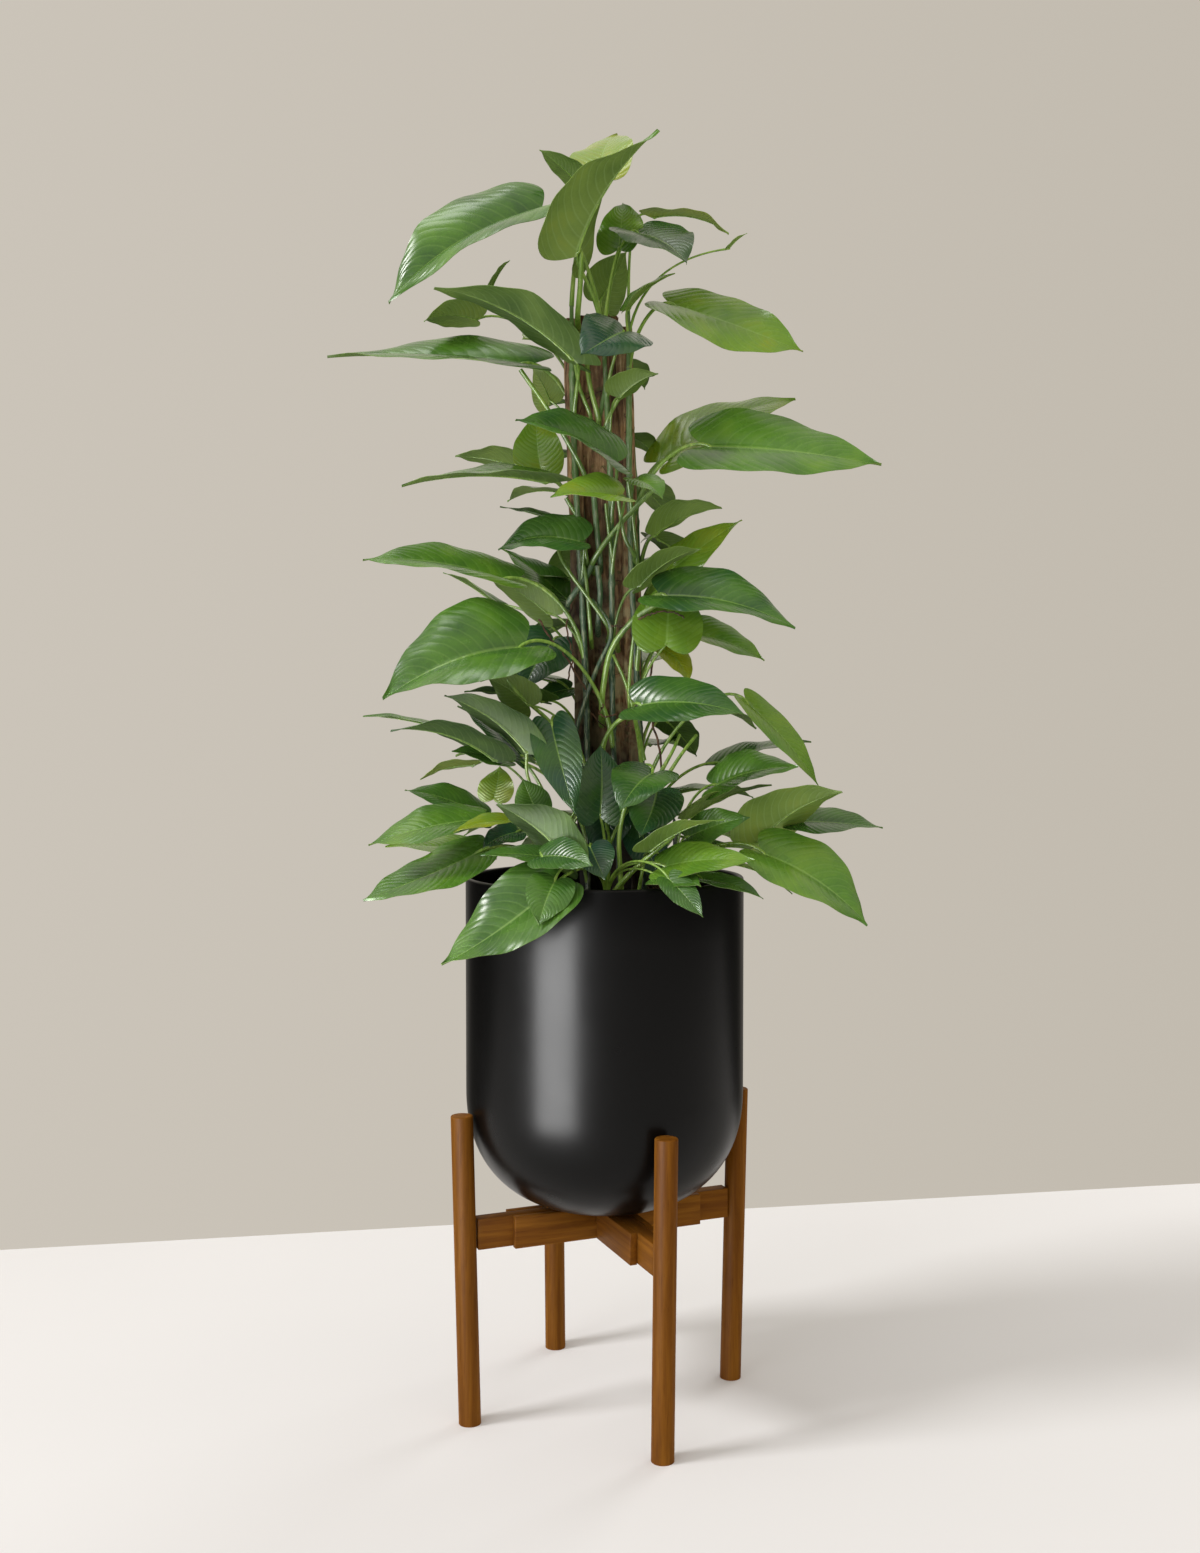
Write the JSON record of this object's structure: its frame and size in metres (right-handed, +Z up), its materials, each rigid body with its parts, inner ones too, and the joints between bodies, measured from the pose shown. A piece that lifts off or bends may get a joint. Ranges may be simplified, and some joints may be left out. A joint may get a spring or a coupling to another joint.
{
  "type": "potted climbing pothos",
  "caption": "Tall jade pothos climbing a pole of bark slats, in a round-bottomed black metal pot held up by a wooden stand of crossed beams and dowel legs.",
  "frame": {"origin": "on the floor plane, at the axis of the pot and the stand, in the middle of the plant's widest spread", "axes": "+Z up, +Y away from the viewer of the picture, +X to the viewer's right"},
  "size_m": [0.6, 0.405, 1.424],
  "materials": {
    "pot_paint": "satin black paint",
    "walnut": "oiled walnut, straight grain",
    "bark": "rough dry bark",
    "earth": "loose dark potting mix",
    "leaf": "waxy green leaf, glossy above"
  },
  "bodies": {
    "root": {"pot": "pot_paint", "soil": "earth", "leg_right": "walnut", "leg_back": "walnut", "leg_left": "walnut", "leg_front": "walnut", "rail_right": "walnut", "rail_back": "walnut", "rail_left": "walnut", "rail_front": "walnut", "board_long_front": "walnut", "board_long_back": "walnut", "board_cross_right": "walnut", "board_cross_left": "walnut", "slat_left": "bark", "slat_middle": "bark", "slat_right": "bark", "vine_left": "leaf", "vine_front": "leaf", "vine_right": "leaf", "vine_back_right": "leaf", "vine_back": "leaf", "vine_back_left": "leaf", "vine_base_left": "leaf", "vine_base_front": "leaf", "vine_base_right": "leaf", "vine_base_back": "leaf"}
  },
  "joints": []
}
